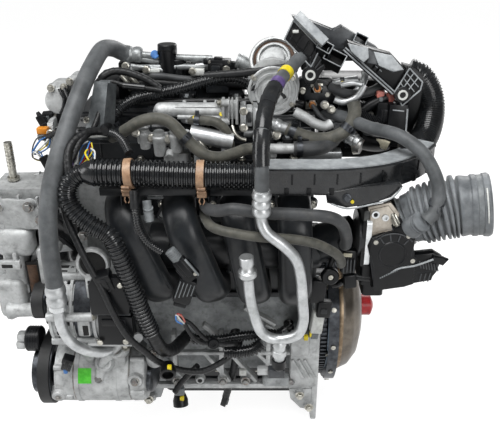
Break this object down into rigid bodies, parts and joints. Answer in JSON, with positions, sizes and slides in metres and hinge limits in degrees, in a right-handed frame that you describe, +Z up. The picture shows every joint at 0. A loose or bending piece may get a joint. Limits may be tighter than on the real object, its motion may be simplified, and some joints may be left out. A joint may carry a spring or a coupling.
{
  "type": "car engine",
  "caption": "Dressed inline petrol engine of a family car: aluminium block, arched plastic intake runners, front belt drive, wiring and hoses, with a torque converter at the output end.",
  "frame": {"origin": "on the flat underside of the sump, straight below the middle of the crankshaft", "axes": "+X along the crankshaft from the belt end to the gearbox face, +Z up, and the intake side faces -Y"},
  "size_m": [0.9049, 0.5088, 0.808],
  "materials": {
    "cast_aluminium": "as cast, satin",
    "machined_aluminium": "machined, satin",
    "bright_steel": "zinc plated, satin",
    "dark_steel": "oiled, dull",
    "pressed_steel_black": "black paint, satin",
    "painted_can": "dark paint, satin",
    "cast_iron": "bare, lightly rusted",
    "black_plastic": "moulded, matte",
    "dark_plastic": "moulded, matte",
    "tan_plastic": "moulded, matte",
    "yellow_plastic": "moulded, gloss",
    "loom_black": "corrugated and taped, matte",
    "black_rubber": "moulded hose, matte",
    "grey_rubber": "moulded hose, matte",
    "brass": "turned, dull"
  },
  "bodies": {
    "engine": {"cylinder_block": "cast_aluminium", "bedplate": "cast_aluminium", "oil_pan": "pressed_steel_black", "cylinder_head": "cast_aluminium", "head_gasket": "bright_steel", "cam_cover": "black_plastic", "cam_caps": "machined_aluminium", "front_cover": "cast_aluminium", "phaser_cover": "cast_aluminium", "intake_manifold": "dark_plastic", "throttle_body": "machined_aluminium", "throttle_motor": "black_plastic", "intake_duct": "grey_rubber", "duct_clamps": "bright_steel", "ignition_coils": "black_plastic", "oil_filter": "painted_can", "alternator_body": "cast_aluminium", "alternator_cover": "dark_plastic", "ac_compressor": "cast_aluminium", "mount_bracket": "cast_aluminium", "mount_stud": "bright_steel", "accessory_belt": "black_rubber", "timing_chain": "dark_steel", "coolant_outlet": "machined_aluminium", "egr_cooler": "bright_steel", "vacuum_pump": "cast_aluminium", "exhaust_manifold": "cast_iron", "wiring_tray": "black_plastic", "main_loom": "loom_black", "front_loom": "loom_black", "lower_loom": "loom_black", "rear_loom": "loom_black", "clamps": "tan_plastic", "connector_bracket": "pressed_steel_black", "suction_hose": "grey_rubber", "discharge_hose": "black_rubber", "refrigerant_pipes": "machined_aluminium", "coolant_hoses": "black_rubber", "vacuum_hoses": "grey_rubber", "breather_hose": "black_rubber", "adapter_plate": "bright_steel", "bolts": "bright_steel", "dipstick_tube": "bright_steel", "loom_tail": "loom_black"},
    "crank": {"crankshaft": "dark_steel", "crank_pulley": "dark_steel", "flexplate": "bright_steel", "torque_converter": "painted_can"},
    "camshaft_a": {"camshaft_intake": "dark_steel"},
    "camshaft_b": {"camshaft_exhaust": "dark_steel"},
    "compressor_wheel": {"compressor_pulley": "dark_steel"},
    "alternator_rotor": {"alternator_pulley": "dark_steel"},
    "pump_wheel": {"pump_pulley": "pressed_steel_black"},
    "tensioner": {"tensioner_arm": "cast_aluminium"},
    "tensioner_wheel": {"tensioner_pulley": "black_plastic"},
    "throttle_disc": {"throttle_plate": "brass"},
    "filler_cap": {"oil_filler_cap": "black_plastic"},
    "oil_dipstick": {"dipstick": "yellow_plastic"},
    "piston_pair_a": {"pistons_outer": "machined_aluminium"},
    "piston_pair_b": {"pistons_inner": "machined_aluminium"}
  },
  "joints": [
    {"name": "crank_spin", "type": "hinge", "parent": "engine", "child": "crank", "pos_m": [0, 0, 0.19], "axis": [1, 0, 0], "continuous": true},
    {"name": "camshaft_a_spin", "type": "hinge", "parent": "engine", "child": "camshaft_a", "pos_m": [0, -0.04, 0.543], "axis": [1, 0, 0], "continuous": true},
    {"name": "camshaft_b_spin", "type": "hinge", "parent": "engine", "child": "camshaft_b", "pos_m": [0, 0.04, 0.543], "axis": [1, 0, 0], "continuous": true},
    {"name": "compressor_spin", "type": "hinge", "parent": "engine", "child": "compressor_wheel", "pos_m": [-0.32, -0.175, 0.158], "axis": [1, 0, 0], "continuous": true},
    {"name": "alternator_spin", "type": "hinge", "parent": "engine", "child": "alternator_rotor", "pos_m": [-0.32, -0.172, 0.315], "axis": [1, 0, 0], "continuous": true},
    {"name": "pump_spin", "type": "hinge", "parent": "engine", "child": "pump_wheel", "pos_m": [-0.32, 0.03, 0.33], "axis": [1, 0, 0], "continuous": true},
    {"name": "tensioner_swing", "type": "hinge", "parent": "engine", "child": "tensioner", "pos_m": [-0.32, -0.09, 0.19], "axis": [1, 0, 0], "range_deg": [0, 8], "stiffness_Nm_per_rad": 60, "springref_deg": -22.92, "deforming": ["accessory_belt"]},
    {"name": "tensioner_spin", "type": "hinge", "parent": "tensioner", "child": "tensioner_wheel", "pos_m": [-0.32, -0.112, 0.252], "axis": [1, 0, 0], "continuous": true},
    {"name": "throttle_open", "type": "hinge", "parent": "engine", "child": "throttle_disc", "pos_m": [0.296, -0.18, 0.465], "axis": [0, 0, 1], "range_deg": [0, 84], "stiffness_Nm_per_rad": 0.4, "springref_deg": -20.05},
    {"name": "filler_cap_turn", "type": "hinge", "parent": "engine", "child": "filler_cap", "pos_m": [0.092, 0.054, 0.643], "axis": [0, 0, 1], "range_deg": [0, 90]},
    {"name": "dipstick_pull", "type": "slide", "parent": "engine", "child": "oil_dipstick", "axis": [0, 0, 1], "range_m": [0, 0.45]},
    {"name": "piston_pair_a_stroke", "type": "slide", "parent": "engine", "child": "piston_pair_a", "axis": [0, 0, 1], "range_m": [-0.09, 0]},
    {"name": "piston_pair_b_stroke", "type": "slide", "parent": "engine", "child": "piston_pair_b", "axis": [0, 0, 1], "range_m": [0, 0.09]}
  ],
  "couplings": [
    {"joint": "camshaft_a_spin", "follows": "crank_spin", "ratio": 0.5},
    {"joint": "camshaft_b_spin", "follows": "crank_spin", "ratio": 0.5},
    {"joint": "compressor_spin", "follows": "crank_spin", "ratio": 1.0645},
    {"joint": "alternator_spin", "follows": "crank_spin", "ratio": 2.3571},
    {"joint": "pump_spin", "follows": "crank_spin", "ratio": 1.375},
    {"joint": "tensioner_spin", "follows": "crank_spin", "ratio": -2.3571},
    {"joint": "piston_pair_b_stroke", "follows": "piston_pair_a_stroke", "ratio": -1}
  ]
}
